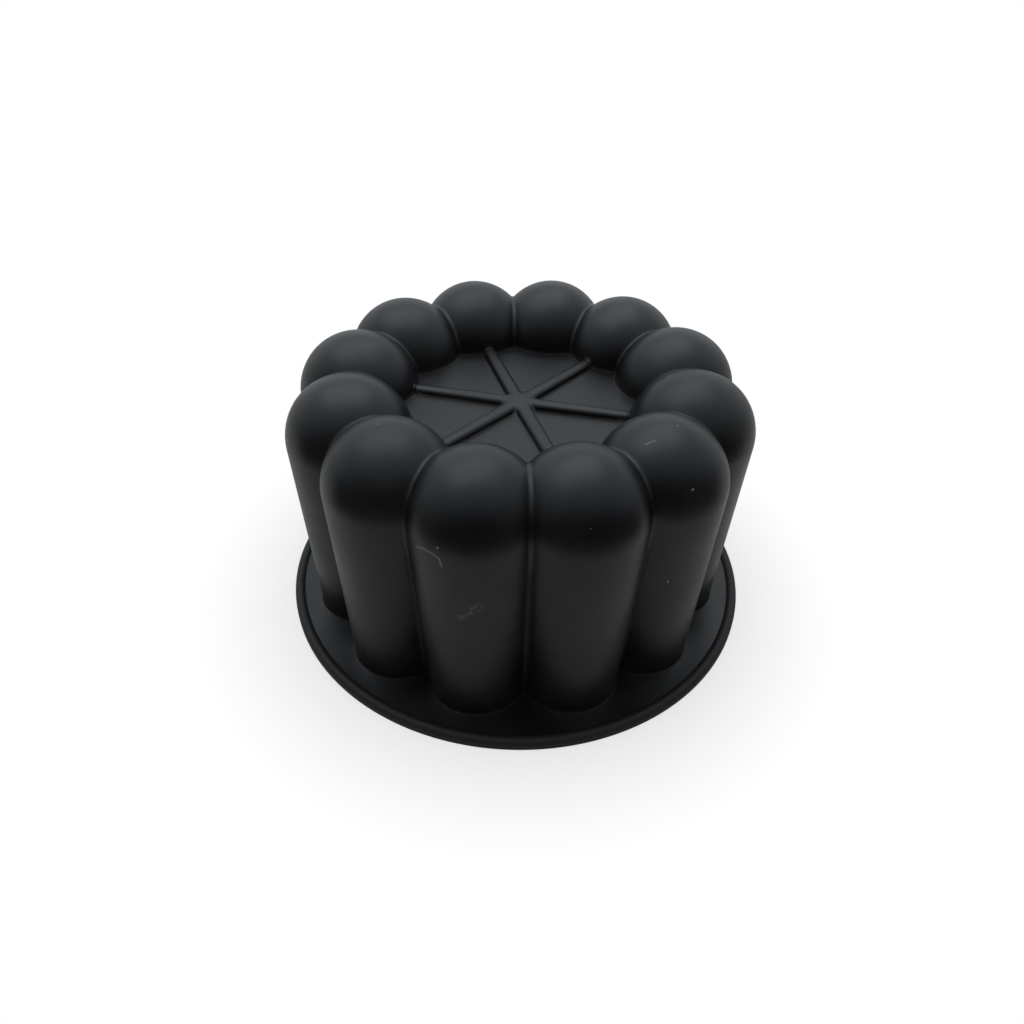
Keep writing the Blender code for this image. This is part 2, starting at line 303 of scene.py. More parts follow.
CUT_LINES = list(zip(skin(0.0), skin(WALL)))  # outer and inner line of each cut
outer_path = outside(CUT_LINES[0][0])
print("rows outside:", len(outer_path), "inside:", len(inside(CUT_LINES[0][1], outer_path[-1])))

# %% [markdown]
# ## The sunken plate
# The ribs and the hub are not laid on the plate but grow out of it, with a small
# hollow all along their feet. A height over the plate describes that best: the
# highest of the ribs, the hub and the plate counts, and where two of them are
# nearly level a soft maximum rounds the corner between them.

# %% Height of the ribs and the hub over the plate
RIB_FOOT_BLEND = 0.0003
HUB_BLEND = 0.0008
FOOT_FALL = 2.5  # how steeply a ridge's height runs below the plate outside its foot
RIDGE_FULLNESS = 2.5  # 2 is a half-round section, and more is fuller at the shoulders


def soft_max(a, b, blend):
    overlap = max(blend - abs(a - b), 0.0)
    return max(a, b) + overlap * overlap / (4.0 * blend)


def ridge(spread, height):
    """Full-shouldered ridge: its crest at spread 0, its foot at spread 1."""
    if spread < 1.0:
        return height * (1.0 - spread ** RIDGE_FULLNESS) ** (1.0 / RIDGE_FULLNESS)
    return FOOT_FALL * height * (1.0 - spread)


def rib_height(x, y, angle):
    along = abs(x * math.cos(angle) + y * math.sin(angle))
    across = abs(y * math.cos(angle) - x * math.sin(angle))
    share = min(1.0, along / RIB_STRAIGHT)
    half_width = (RIB_ROOT_WIDTH + share * (RIB_TIP_WIDTH - RIB_ROOT_WIDTH)) / 2.0
    past_end = max(0.0, along - RIB_STRAIGHT) / (RIB_TIP_WIDTH / 2.0)
    return ridge(math.hypot(across / half_width, past_end), RIB_HEIGHT)


def relief(x, y, ground):
    """Height over the plate's face where the ground, plate or fillet, is at a height."""
    star = ridge(math.hypot(x, y) / HUB_RADIUS, HUB_HEIGHT)
    for angle in RIB_ANGLES:
        star = soft_max(star, rib_height(x, y, angle), HUB_BLEND)
    return soft_max(star, ground, RIB_FOOT_BLEND)


print("middle of the hub over the plate mm:", round(1000 * relief(0.0, 0.0, 0.0), 2))

# %% [markdown]
# The mesh lines of the plate must follow the ribs, or their sides look torn. Near
# the hub a line keeps its distance from the rib's own line, spaced closer where
# the half-round is steep, and only towards the plate's edge does it slide over to
# the place where its cut of the crown begins.

# %% Mesh lines over the plate
RIB_SIDE_STEPS = 14  # faces from a rib's crest to its foot
RIB_FOOT_STEP = 0.0002  # from a rib's foot to the line after it
LINE_TURN_RADIUS = 0.0074  # inside this radius the lines run straight to the middle
SECTOR = COLUMNS // (2 * RIB_PAIRS)  # columns from one rib to the next
SECTOR_ANGLE = math.pi / RIB_PAIRS


def smooth_step(value):
    value = min(1.0, max(0.0, value))
    return value * value * (3.0 - 2.0 * value)


def rib_line_angle(step, radius):
    """Angle from a rib's line to its mesh line number step, at a radius."""
    side = math.sin(math.pi / 2.0 * min(step, RIB_SIDE_STEPS) / RIB_SIDE_STEPS)
    away = side * RIB_ROOT_WIDTH / 2.0 + (RIB_FOOT_STEP if step > RIB_SIDE_STEPS else 0.0)
    return math.asin(away / max(radius, LINE_TURN_RADIUS))


def plate_line_angle(column, radius):
    """Bearing of a column's mesh line over the plate."""
    centre = WEB_STEPS + LOBE_STEPS // 2 - COLUMNS_PER_LOBE  # column of the first rib's crest
    place = (column - centre) % SECTOR
    turns = (column - centre) // SECTOR
    start = -HALF_PITCH + turns * SECTOR_ANGLE
    half = SECTOR // 2
    step = place if place <= half else SECTOR - place
    last = RIB_SIDE_STEPS + 1
    if step <= last:
        angle = rib_line_angle(step, radius)
    else:
        foot = rib_line_angle(last, radius)
        angle = foot + (SECTOR_ANGLE / 2.0 - foot) * (step - last) / (half - last)
    if place > half:
        angle = SECTOR_ANGLE - angle
    return start + angle


print("columns from one rib to the next:", SECTOR)

# %% Rows over the plate
MIDDLE_RADIUS = 0.0040
HUB_ROW_END = 0.0110
HUB_ROWS = 10
RIB_ROW_END = 0.0340
RIB_ROWS = 10
EDGE_ROWS = 16
WIDENING_START = 0.3  # share of the plate from which a row widens to the plate's own edge
LINE_BLEND_START = 0.86  # share of the plate from which a line slides over to its cut


def spaced(start, end, steps):
    return [start + (end - start) * step / steps for step in range(steps)]


PLATE_ROWS = spaced(MIDDLE_RADIUS, HUB_ROW_END, HUB_ROWS)
PLATE_ROWS += spaced(HUB_ROW_END, RIB_ROW_END, RIB_ROWS)
PLATE_ROWS += spaced(RIB_ROW_END, PLATE_EDGE_RADIUS, EDGE_ROWS)


def plate_points(column, edge):
    """Points of one mesh line from near the hub to the plate's edge, which is left out."""
    edge_radius = math.hypot(edge.x, edge.y)
    edge_bearing = math.atan2(edge.y, edge.x)
    points = []
    for row in PLATE_ROWS:
        share = row / PLATE_EDGE_RADIUS
        widened = smooth_step((share - WIDENING_START) / (1.0 - WIDENING_START))
        radius = row * (1.0 + widened * (edge_radius / PLATE_EDGE_RADIUS - 1.0))
        bearing = plate_line_angle(column, radius)
        slide = smooth_step((share - LINE_BLEND_START) / (1.0 - LINE_BLEND_START))
        turn = math.remainder(edge_bearing - bearing, 2.0 * math.pi)
        bearing += slide * turn
        x = radius * math.cos(bearing)
        y = radius * math.sin(bearing)
        points.append(Vector((x, y, PLATE_HEIGHT + relief(x, y, 0.0))))
    return points


print("rows over the plate:", len(PLATE_ROWS))

# %% [markdown]
# ## Weaving the shell
# All cuts together are a net of columns and rows. A loop over both makes the faces,
# and the middle of the plate is closed with rings that have a sixth of the points,
# so that no sliver is left at the axis.

# %% Middle of a plate
THINNING = 6  # columns that share one point of the middle rings
MIDDLE_RINGS = 5


def close_middle(bm, ring, height_at):
    """Close a ring of vertices with rings of fewer points and a fan at the axis."""
    count = len(ring) // THINNING
    outer = ring
    for ring_number in range(MIDDLE_RINGS - 1, 0, -1):
        share = ring_number / MIDDLE_RINGS
        verts = []
        for vert in ring[::THINNING]:
            x, y = vert.co.x * share, vert.co.y * share
            verts.append(bm.verts.new((x, y, height_at(x, y))))
        for index in range(count):
            beside = verts[(index + 1) % count]
            if outer is ring:
                first = index * THINNING
                half = first + THINNING // 2
                for place in range(first, half):
                    bm.faces.new((verts[index], ring[place], ring[place + 1]))
                for place in range(half, first + THINNING):
                    bm.faces.new((beside, ring[place], ring[(place + 1) % len(ring)]))
                bm.faces.new((verts[index], ring[half], beside))
            else:
                bm.faces.new((verts[index], outer[index], outer[(index + 1) % count], beside))
        outer = verts
    middle = bm.verts.new((0.0, 0.0, height_at(0.0, 0.0)))
    for index in range(count):
        bm.faces.new((middle, outer[index], outer[(index + 1) % count]))


print("points in a middle ring:", COLUMNS // THINNING)

# %% [markdown]
# A pin hole starts as a square patch that is left out of the net. A collar of faces
# joins its border to a circle, the circle is rounded into the bore, and the bore
# ends on the channel that the hoop lies in. The channel is a ring of its own, with
# the same kind of patch left out above each hole.

# %% Round openings in a net
PIN_HOLES = 6
PIN_HOLE_MARGIN = 0.0002
PIN_HOLE_RADIUS = HOOP_WIRE_RADIUS - PIN_HOLE_MARGIN
PIN_EDGE_RADIUS = 0.00012
PIN_EDGE_STEPS = 3


def patch_border(middle_column, first_row):
    """Places (column, row) round a patch, in order."""
    low = middle_column - PIN_PATCH // 2
    steps = range(PIN_PATCH)
    border = [(low + step, first_row) for step in steps]
    border += [(low + PIN_PATCH, first_row + step) for step in steps]
    border += [(low + PIN_PATCH - step, first_row + PIN_PATCH) for step in steps]
    border += [(low, first_row + PIN_PATCH - step) for step in steps]
    return border


def in_patch(column, row, first_row):
    """True for a face of the net inside one of the pin holes' patches."""
    spacing = COLUMNS // PIN_HOLES
    place = (column + PIN_PATCH // 2) % spacing
    return place < PIN_PATCH and first_row <= row < first_row + PIN_PATCH


def join_loops(bm, first, second):
    for index in range(len(first)):
        after = (index + 1) % len(first)
        bm.faces.new((first[index], first[after], second[after], second[index]))


def open_pin_hole(bm, seat_loop, channel_loop, centre):
    """Bore from the seat's patch to the channel's patch."""
    loops = [seat_loop]
    directions = [(vert.co - centre).normalized() for vert in seat_loop]
    edge_centre = (0.0, PIN_EDGE_RADIUS)
    for across, height in arc(edge_centre, PIN_EDGE_RADIUS, -math.pi / 2.0, -math.pi, PIN_EDGE_STEPS):
        radius = PIN_HOLE_RADIUS + PIN_EDGE_RADIUS + across
        lift = Vector((0.0, 0.0, height))
        loops.append([bm.verts.new(centre + way * radius + lift) for way in directions])
    top = []
    for way in directions:
        point = centre + way * PIN_HOLE_RADIUS
        off_line = math.hypot(point.x, point.y) - HOOP_RADIUS
        point.z = BEAD_RADIUS - math.sqrt(CHANNEL_RADIUS ** 2 - off_line ** 2)
        top.append(bm.verts.new(point))
    loops.append(top)
    loops.append(channel_loop)
    for first, second in zip(loops, loops[1:]):
        join_loops(bm, first, second)


print("pin hole across mm:", round(2000 * PIN_HOLE_RADIUS, 2))

# %% [markdown]
# A column of the net starts near the hub, runs out over the plate, follows its cut
# all the way round the wall and ends under the plate. Every column has the same
# number of rows, so neighbours are joined row by row.

# %% One column of the net
RELIEF_ROWS = HOLLOW_STEPS + 5  # rows of a cut, from the plate's edge, that a rib's tip can reach
UNDERSIDE_ROWS = (0.85, 0.6, 0.35)  # shares of the way out to the inner skin's edge
PATCH_ROW = len(PLATE_ROWS) + len(outer_path) - len(seat_section())


def net_column(column):
    """Points over the plate, along the whole cut and back under the plate."""
    lobe, cut = divmod(column, COLUMNS_PER_LOBE)
    outer, inner = CUT_LINES[cut]
    path = outside(outer)
    path += inside(inner, path[-1])
    turn = Matrix.Rotation((2 * lobe + 1) * HALF_PITCH, 3, "Z")
    path = [turn @ point for point in path]
    for point in path[:RELIEF_ROWS]:
        point.z = PLATE_HEIGHT + relief(point.x, point.y, point.z - PLATE_HEIGHT)
    edge = path[-1]
    under_plate = []
    for share in UNDERSIDE_ROWS:
        inward = edge * share
        under_plate.append(Vector((inward.x, inward.y, edge.z)))
    share = MIDDLE_RADIUS / math.hypot(edge.x, edge.y)
    under_plate.append(Vector((edge.x * share, edge.y * share, edge.z)))
    return plate_points(column, path[0]) + path + under_plate


print("rows of the net:", len(net_column(0)), "pin holes' patches from row", PATCH_ROW)


# %% Faces between the columns
def weave(bm, net, closed_rows, first_row):
    """Faces between neighbouring columns, without the pin holes' patches."""
    rows = len(net[0])
    for column, line in enumerate(net):
        beside = net[(column + 1) % len(net)]
        for row in range(rows if closed_rows else rows - 1):
            after = (row + 1) % rows
            if not in_patch(column, row, first_row):
                bm.faces.new((line[row], line[after], beside[after], beside[row]))


# %% Channel of the hoop and its pin holes
CHANNEL_SIDES = 18


def make_channel(bm, bearings):
    """Ring of its own inside the bead, with a column at each bearing."""
    channel = []
    for bearing in bearings:
        line = []
        for side in range(CHANNEL_SIDES):
            angle = 2.0 * math.pi * (PIN_PATCH / 2.0 - side) / CHANNEL_SIDES
            radius = HOOP_RADIUS + CHANNEL_RADIUS * math.sin(angle)
            height = BEAD_RADIUS - CHANNEL_RADIUS * math.cos(angle)
            line.append(bm.verts.new(on_circle(radius, bearing, height)))
        channel.append(line)
    weave(bm, channel, True, 0)
    return channel


def open_pin_holes(bm, net, channel, bearings):
    """Join each patch of the seat to the channel's patch above it."""
    for hole in range(PIN_HOLES):
        middle = hole * COLUMNS // PIN_HOLES
        centre = on_circle(HOOP_RADIUS, bearings[middle], 0.0)
        seat_loop = [net[column % COLUMNS][row] for column, row in patch_border(middle, PATCH_ROW)]
        channel_loop = [channel[column % COLUMNS][row] for column, row in patch_border(middle, 0)]
        open_pin_hole(bm, seat_loop, channel_loop, centre)


# %% The shell
def finished_mesh(bm, name):
    mesh = bpy.data.meshes.new(name)
    bm.to_mesh(mesh)
    bm.free()
    return mesh


def show(mesh):
    item = bpy.data.objects.new(mesh.name, mesh)
    bpy.context.scene.collection.objects.link(item)
    return item


def make_shell():
    bm = bmesh.new()
    net = [[bm.verts.new(point) for point in net_column(column)] for column in range(COLUMNS)]
    weave(bm, net, False, PATCH_ROW)
    close_middle(bm, [line[0] for line in net], lambda x, y: PLATE_HEIGHT + relief(x, y, 0.0))
    close_middle(bm, [line[-1] for line in net], lambda x, y: PLATE_HEIGHT - WALL)
    bearings = [math.atan2(line[PATCH_ROW].co.y, line[PATCH_ROW].co.x) for line in net]
    channel = make_channel(bm, bearings)
    open_pin_holes(bm, net, channel, bearings)
    loose = [vert for vert in bm.verts if not vert.link_faces]  # left over inside the patches
    bmesh.ops.delete(bm, geom=loose, context="VERTS")
    bmesh.ops.recalc_face_normals(bm, faces=bm.faces[:])
    open_edges = sum(1 for edge in bm.edges if len(edge.link_faces) != 2)
    mesh = finished_mesh(bm, "silicone_shell")
    mesh.shade_smooth()
    print("shell faces:", len(mesh.polygons), "open edges:", open_edges)
    return mesh


shell = show(make_shell())
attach(shell, "root")
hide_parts("mould_shell")

# %% [markdown]
# ## The hoop in the bead
# The hoop keeps the soft mouth round. It is one length of spring wire, bent to a
# ring and butt-welded, and the weld leaves a low swelling. The wire is a tube
# along a circle whose thickness grows by a little at the weld.

# %% Hoop with its weld
HOOP_STEPS = 360
WIRE_SIDES = 16
WELD_BEARING = math.radians(195.0)
WELD_LENGTH = 0.0016
WELD_SWELL = 0.00012


def make_hoop():
    bm = bmesh.new()
    rings = []
    for step in range(HOOP_STEPS):
        bearing = 2.0 * math.pi * step / HOOP_STEPS
        from_weld = math.remainder(bearing - WELD_BEARING, 2.0 * math.pi) * HOOP_RADIUS
        radius = HOOP_WIRE_RADIUS + WELD_SWELL * math.exp(-(from_weld / WELD_LENGTH) ** 2)
        ring = []
        for side in range(WIRE_SIDES):
            angle = 2.0 * math.pi * side / WIRE_SIDES
            reach = HOOP_RADIUS + radius * math.cos(angle)
            height = BEAD_RADIUS + radius * math.sin(angle)
            ring.append(bm.verts.new(on_circle(reach, bearing, height)))
        rings.append(ring)
    for index, ring in enumerate(rings):
        join_loops(bm, ring, rings[(index + 1) % HOOP_STEPS])
    bmesh.ops.recalc_face_normals(bm, faces=bm.faces[:])
    mesh = finished_mesh(bm, "steel_hoop")
    mesh.shade_smooth()
    print("hoop faces:", len(mesh.polygons))
    return mesh


hoop = show(make_hoop())
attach(hoop, "root")
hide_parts("rim_hoop")

# %% [markdown]
# ## Shared effects
# Two effects are used by more than one finish: settled dust and a cloudy unevenness,
# which at a very small scale is the grain too. Each is a node group with inputs of
# its own, so that every material sets its own scale. A group gives back only a mask.

# %% Node helpers
def add_node(tree, kind, inputs=(), **settings):
    """Add a node, set its properties, and link or set its inputs by place or name."""
    node = tree.nodes.new(kind)
    for name, value in settings.items():
        setattr(node, name, value)
    for place, value in dict(inputs).items():
        socket = node.inputs[place]
        if isinstance(value, bpy.types.NodeSocket):
            tree.links.new(value, socket)
        else:
            socket.default_value = value
    return node


def combine(tree, operation, first, second, **settings):
    """Output of a Math node on two values."""
    values = {0: first, 1: second}
    return add_node(tree, "ShaderNodeMath", values, operation=operation, **settings).outputs[0]


def vector_math(tree, operation, first, second):
    """Vector Math node on two vectors."""
    return add_node(tree, "ShaderNodeVectorMath", {0: first, 1: second}, operation=operation)


def ramp(tree, value, start, end):
    """0 where a value is at the start and 1 where it is at the end, with soft ends."""
    span = {"Value": value, "From Min": start, "From Max": end}
    return add_node(tree, "ShaderNodeMapRange", span, interpolation_type="SMOOTHSTEP").outputs[0]


def new_effect(name, inputs, outputs):
    """A node group with float inputs and outputs; returns it with its two end nodes."""
    group = bpy.data.node_groups.new(name, "ShaderNodeTree")
    for title, value in inputs.items():
        socket = group.interface.new_socket(title, in_out="INPUT", socket_type="NodeSocketFloat")
        socket.default_value = value
    for title in outputs:
        group.interface.new_socket(title, in_out="OUTPUT", socket_type="NodeSocketFloat")
    return group, group.nodes.new("NodeGroupInput"), group.nodes.new("NodeGroupOutput")


# %% Cloudy unevenness
CLOUD_DETAIL = 4.0


def make_cloud_effect():
    group, given, result = new_effect("cloud", {"Scale": 40.0, "Low": 0.4, "High": 0.6}, ["Mask"])
    place = add_node(group, "ShaderNodeTexCoord").outputs["Object"]
    noise = {"Vector": place, "Scale": given.outputs["Scale"], "Detail": CLOUD_DETAIL}
    noise = add_node(group, "ShaderNodeTexNoise", noise)
    mask = ramp(group, noise.outputs[0], given.outputs["Low"], given.outputs["High"])
    group.links.new(mask, result.inputs["Mask"])
    return group


cloud = make_cloud_effect()
print("nodes in the cloud effect:", len(cloud.nodes))


# %% Settled dust
def make_dust_effect():
    """Round specks: one in each cell of a lattice, and only in a share of the cells."""
    given_values = {"Scale": 300.0, "Size": 0.1, "Share": 0.2}
    group, given, result = new_effect("dust", given_values, ["Mask"])
    place = add_node(group, "ShaderNodeTexCoord").outputs["Object"]
    cells = {"Vector": place, "Scale": given.outputs["Scale"]}
    cells = add_node(group, "ShaderNodeTexVoronoi", cells)
    colour = add_node(group, "ShaderNodeSeparateColor", {"Color": cells.outputs["Color"]})
    chosen = combine(group, "LESS_THAN", colour.outputs[0], given.outputs["Share"])
    size = combine(group, "MULTIPLY", given.outputs["Size"], colour.outputs[1])
    speck = ramp(group, cells.outputs["Distance"], size, 0.0)
    mask = combine(group, "MULTIPLY", speck, chosen)
    group.links.new(mask, result.inputs["Mask"])
    return group


dust = make_dust_effect()
print("nodes in the dust effect:", len(dust.nodes))

# %% [markdown]
# Black silicone shows every scuff and hair. Such a mark is a soft stroke from one
# place on the surface to another: the mask is 1 on the line between the two places
# and falls to 0 at the stroke's width. A speck is a very short stroke.

# %% Strokes
def make_stroke_effect():
    group, given, result = new_effect("stroke", {"Width": 0.001}, ["Mask"])
    for title in ("Start", "End"):
        group.interface.new_socket(title, in_out="INPUT", socket_type="NodeSocketVector")
    start = given.outputs["Start"]
    place = add_node(group, "ShaderNodeTexCoord").outputs["Object"]
    reach = vector_math(group, "SUBTRACT", place, start).outputs[0]
    span = vector_math(group, "SUBTRACT", given.outputs["End"], start).outputs[0]
    along = vector_math(group, "DOT_PRODUCT", reach, span).outputs["Value"]
    whole = vector_math(group, "DOT_PRODUCT", span, span).outputs["Value"]
    share = combine(group, "DIVIDE", along, whole, use_clamp=True)
    nearest = add_node(group, "ShaderNodeVectorMath", {0: span, "Scale": share}, operation="SCALE")
    away = vector_math(group, "DISTANCE", reach, nearest.outputs[0]).outputs["Value"]
    mask = ramp(group, away, given.outputs["Width"], 0.0)
    group.links.new(mask, result.inputs["Mask"])
    return group


stroke = make_stroke_effect()
print("nodes in the stroke effect:", len(stroke.nodes))


def use_effect(tree, group, **values):
    """Place a group in a material with its own values; returns its first output."""
    node = tree.nodes.new("ShaderNodeGroup")
    node.node_tree = group
    for title, value in values.items():
        node.inputs[title].default_value = value
    return node.outputs[0]


# %% [markdown]
# ## Silicone
# Silicone with carbon black in it is nearly black, and all that the eye sees is the
# satin reflection on top. Its skin comes off the steel tool with a fine grain, is a
# little cloudy where the release agent lay, and it holds every speck of dust.

# %% Silicone finish
SILICONE_COLOUR = (0.0030, 0.0030, 0.0036, 1.0)
SILICONE_CLOUDED = (0.0052, 0.0051, 0.0054, 1.0)
# The bead's paler colour is partly wear and partly a painted reflection of the table in the bead's outer
# face.
BEAD_WEAR_AND_SHEEN_COLOUR = (0.0085, 0.0083, 0.0085, 1.0)
DUST_COLOUR = (0.30, 0.29, 0.27, 1.0)

# Places of the colour sockets on a Mix node, which has some for each kind of data.
MIX_FIRST = 6
MIX_SECOND = 7
MIX_RESULT = 2


def mix_colour(tree, mask, first, second):
    """First colour where a mask is 0, second where it is 1."""
    colours = {0: mask, MIX_FIRST: first, MIX_SECOND: second}
    return add_node(tree, "ShaderNodeMix", colours, data_type="RGBA").outputs[MIX_RESULT]


def new_finish(name):
    material = bpy.data.materials.new(name)
    material.use_nodes = True
    tree = material.node_tree
    return material, tree, tree.nodes["Principled BSDF"]


# %% [markdown]
# This mould has a few marks of its own: a curved hair and a rubbed place on the
# left front column, a short scratch on the crown to the right, and some specks.
# All of them are strokes at places that were read off the photograph, so they lie
# where the real ones do, and their masks are joined into one.

# %% Marks
HAIR_WIDTH = 0.0006
HAIR_STRENGTH = 0.30
HAIR = [
    (-0.0346, -0.0746, 0.0785),
    (-0.0323, -0.0772, 0.0802),
    (-0.0293, -0.0797, 0.0801),
    (-0.0274, -0.0809, 0.0790),
    (-0.0269, -0.0811, 0.0762),
]
RUBBED_WIDTH = 0.0028
RUBBED_STRENGTH = 0.12
RUBBED_PATCHES = {"Scale": 700.0, "Low": 0.42, "High": 0.60}
RUBBED_PLACE = [(-0.0216, -0.0825, 0.0553), (-0.0159, -0.0833, 0.0612)]
SCRATCH_WIDTH = 0.0005
SCRATCH_STRENGTH = 0.35
SCRATCH = [(0.0364, -0.0520, 0.0993), (0.0391, -0.0516, 0.1004)]
SPECKS = [
    (-0.0278, -0.0804, 0.0830),
    (0.0471, -0.0459, 0.1020),
    (0.0499, -0.0638, 0.0905),
    (-0.0466, -0.0432, 0.1021),
    (0.0473, -0.0664, 0.0537),
]
SPECK_LENGTH = 0.0002
SPECK_WIDTH = 0.0005
SPECK_STRENGTH = 0.75


def strokes(tree, path, width, strength):
    """Strength over the strokes that join the places of a path."""
    mask = 0.0
    for start, end in zip(path, path[1:]):
        line = use_effect(tree, stroke, Start=start, End=end, Width=width)
        mask = combine(tree, "MAXIMUM", mask, line)
    return combine(tree, "MULTIPLY", mask, strength)


def chain(tree, operation, masks):
    """One mask from several, two by two."""
    mask = masks[0]
    for other in masks[1:]:
        mask = combine(tree, operation, mask, other)
    return mask


def make_marks(tree):
    """One mask with all the marks, each at its own strength."""
    patches = use_effect(tree, cloud, **RUBBED_PATCHES)
    rubbed = strokes(tree, RUBBED_PLACE, RUBBED_WIDTH, RUBBED_STRENGTH)
    masks = [combine(tree, "MULTIPLY", rubbed, patches)]
    masks.append(strokes(tree, HAIR, HAIR_WIDTH, HAIR_STRENGTH))
    masks.append(strokes(tree, SCRATCH, SCRATCH_WIDTH, SCRATCH_STRENGTH))
    for x, y, z in SPECKS:
        speck = [(x, y, z), (x, y, z + SPECK_LENGTH)]
        masks.append(strokes(tree, speck, SPECK_WIDTH, SPECK_STRENGTH))
    return chain(tree, "MAXIMUM", masks)


print("specks:", len(SPECKS), "strokes of the hair:", len(HAIR) - 1)

# %% [markdown]
# Where two faces meet in a hollow, at the foot of a column, round the plate and along
# the webs in the valleys, an even gloss draws a bright line that the real mould does
# not show. Whatever dulls it there, perhaps talc or grease, is made here with a rough
# finish in the hollows alone. Their places follow from the wall's sizes.

# %% Dull hollows
HOLLOW_START = 0.0001  # over the flange's face or the plate's
FOOT_HOLLOW_END = 0.0020
PLATE_HOLLOW_END = 0.0012
PLATE_HOLLOW_REACH = 0.0020  # inward from the plate's edge
CROWN_INNER_SIDE = 0.0100  # from the crowns' centres inward, where the plate's hollow ends
WEB_EDGE_START = 0.0009  # outward from a web's middle
WEB_EDGE_END = 0.0002
WEB_DULL_HEIGHT = 0.064
WEB_GLOSS_HEIGHT = 0.074
WEB_DULLNESS = 0.45


def web_radius(circle_radius, lobe_radius):
    """Distance from the axis to the middle of a web."""
    _, _, radius = lobe_cuts(circle_radius, lobe_radius, VALLEY_FILLET)[0]
    return circle_radius * math.cos(HALF_PITCH) + radius


def dull_hollows(tree, away, height, bead):
    """1 in the hollows, and less along the webs in the valleys."""
    web = {"Value": height, "From Max": CROWN_CENTRE_HEIGHT}
    web["To Min"] = web_radius(FOOT_CIRCLE_RADIUS, FOOT_RADIUS)
    web["To Max"] = web_radius(CROWN_CIRCLE_RADIUS, CROWN_RADIUS)
    web = add_node(tree, "ShaderNodeMapRange", web).outputs[0]
    past_web = combine(tree, "SUBTRACT", away, web)
    valley = [
        ramp(tree, past_web, WEB_EDGE_START, WEB_EDGE_END),
        ramp(tree, height, WEB_GLOSS_HEIGHT, WEB_DULL_HEIGHT),
        WEB_DULLNESS,
    ]
    foot = [
        ramp(tree, height, FLANGE_THICKNESS, FLANGE_THICKNESS + HOLLOW_START),
        ramp(tree, height, FLANGE_THICKNESS + FOOT_HOLLOW_END, FLANGE_THICKNESS + FOOT_FILLET),
        combine(tree, "SUBTRACT", 1.0, bead),
    ]
    plate_edge = [
        ramp(tree, height, PLATE_HEIGHT, PLATE_HEIGHT + HOLLOW_START),
        ramp(tree, height, PLATE_HEIGHT + PLATE_HOLLOW_END, PLATE_HEIGHT + PLATE_FILLET),
        ramp(tree, away, PLATE_EDGE_RADIUS - PLATE_HOLLOW_REACH, PLATE_EDGE_RADIUS),
        ramp(tree, away, CROWN_CIRCLE_RADIUS, CROWN_CIRCLE_RADIUS - CROWN_INNER_SIDE),
    ]
    hollows = [chain(tree, "MULTIPLY", masks) for masks in (valley, foot, plate_edge)]
    return chain(tree, "MAXIMUM", hollows)


print("middle of a web mm:", round(1000 * web_radius(CROWN_CIRCLE_RADIUS, CROWN_RADIUS), 2))

# %% [markdown]
# The parts of the finish come together in one material. The bead is what hands hold and tables rub, so it
# is duller. It is also painted paler, partly for that wear and partly as a painted reflection of the
# table in its outer face. It could be a material of its own, but a mask from the distance to the axis
# lets the wear and the painted reflection fade in softly along the flange.

# %% The silicone itself
SILICONE_CLOUDS = {"Scale": 55.0, "Low": 0.35, "High": 0.68}
SILICONE_GRAIN = {"Scale": 2600.0, "Low": 0.25, "High": 0.75}
SILICONE_DUST = {"Scale": 420.0, "Size": 0.09, "Share": 0.04}
SILICONE_BUMP = {"Strength": 0.06, "Distance": 0.0002}
SILICONE_ROUGHNESS = (0.36, 0.44)  # clean and clouded
BEAD_WEAR_AND_SHEEN_REACH = 0.0012  # from the flange's edge to where the bead is wholly worn and painted paler
BEAD_ROUGHNESS = 0.62
HOLLOW_ROUGHNESS = 0.90
SILICONE_IOR = 1.41


def axis_distance(tree):
    """Distance to the mould's axis, and height over the table."""
    place = add_node(tree, "ShaderNodeTexCoord").outputs["Object"]
    flat = vector_math(tree, "MULTIPLY", place, (1.0, 1.0, 0.0))
    away = add_node(tree, "ShaderNodeVectorMath", {0: flat.outputs[0]}, operation="LENGTH")
    height = add_node(tree, "ShaderNodeSeparateXYZ", {0: place}).outputs[2]
    return away.outputs["Value"], height


def between(tree, mask, first, second):
    """First value where a mask is 0, second where it is 1."""
    span = {"Value": mask, "To Min": first, "To Max": second}
    return add_node(tree, "ShaderNodeMapRange", span).outputs[0]


def feed(tree, shader, colour, rough, grain, bump):
    """Link a finish's colour, roughness and grain to its shader."""
    bump = add_node(tree, "ShaderNodeBump", {"Height": grain, **bump})
    tree.links.new(colour, shader.inputs["Base Color"])
    tree.links.new(rough, shader.inputs["Roughness"])
    tree.links.new(bump.outputs[0], shader.inputs["Normal"])


